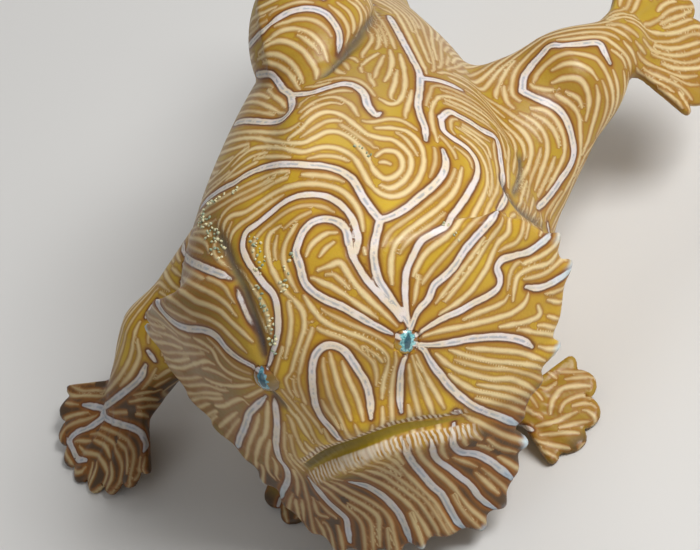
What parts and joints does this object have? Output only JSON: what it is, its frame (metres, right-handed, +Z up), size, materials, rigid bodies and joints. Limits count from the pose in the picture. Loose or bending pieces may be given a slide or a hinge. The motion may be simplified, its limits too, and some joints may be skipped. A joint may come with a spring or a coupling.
{
  "type": "psychedelic frogfish",
  "caption": "Life-size frogfish with a broad flat striped face, small forward eyes, leg-like pectoral fins and a fleshy back fin, resting on its belly and fins.",
  "frame": {"origin": "on the floor, under the middle of the box round the whole fish", "axes": "+X to the fish's own left, -Y the way its face looks, +Y towards its tail, +Z up from the floor"},
  "size_m": [0.0964, 0.095, 0.0493],
  "materials": {
    "striped_skin": "moist, soft satin",
    "fin_web": "moist, soft satin",
    "eye": "polished, glassy"
  },
  "bodies": {
    "root": {"head": "striped_skin", "chin": "striped_skin", "trunk": "striped_skin", "tail": "striped_skin", "pectoral_arm_left": "striped_skin", "pectoral_arm_right": "striped_skin", "pectoral_fin_left": "fin_web", "pectoral_fin_right": "fin_web", "pelvic_fin_left": "fin_web", "pelvic_fin_right": "fin_web", "dorsal_fin": "fin_web", "anal_fin": "fin_web", "caudal_fin": "fin_web", "eye_left": "eye", "eye_right": "eye"}
  },
  "joints": []
}
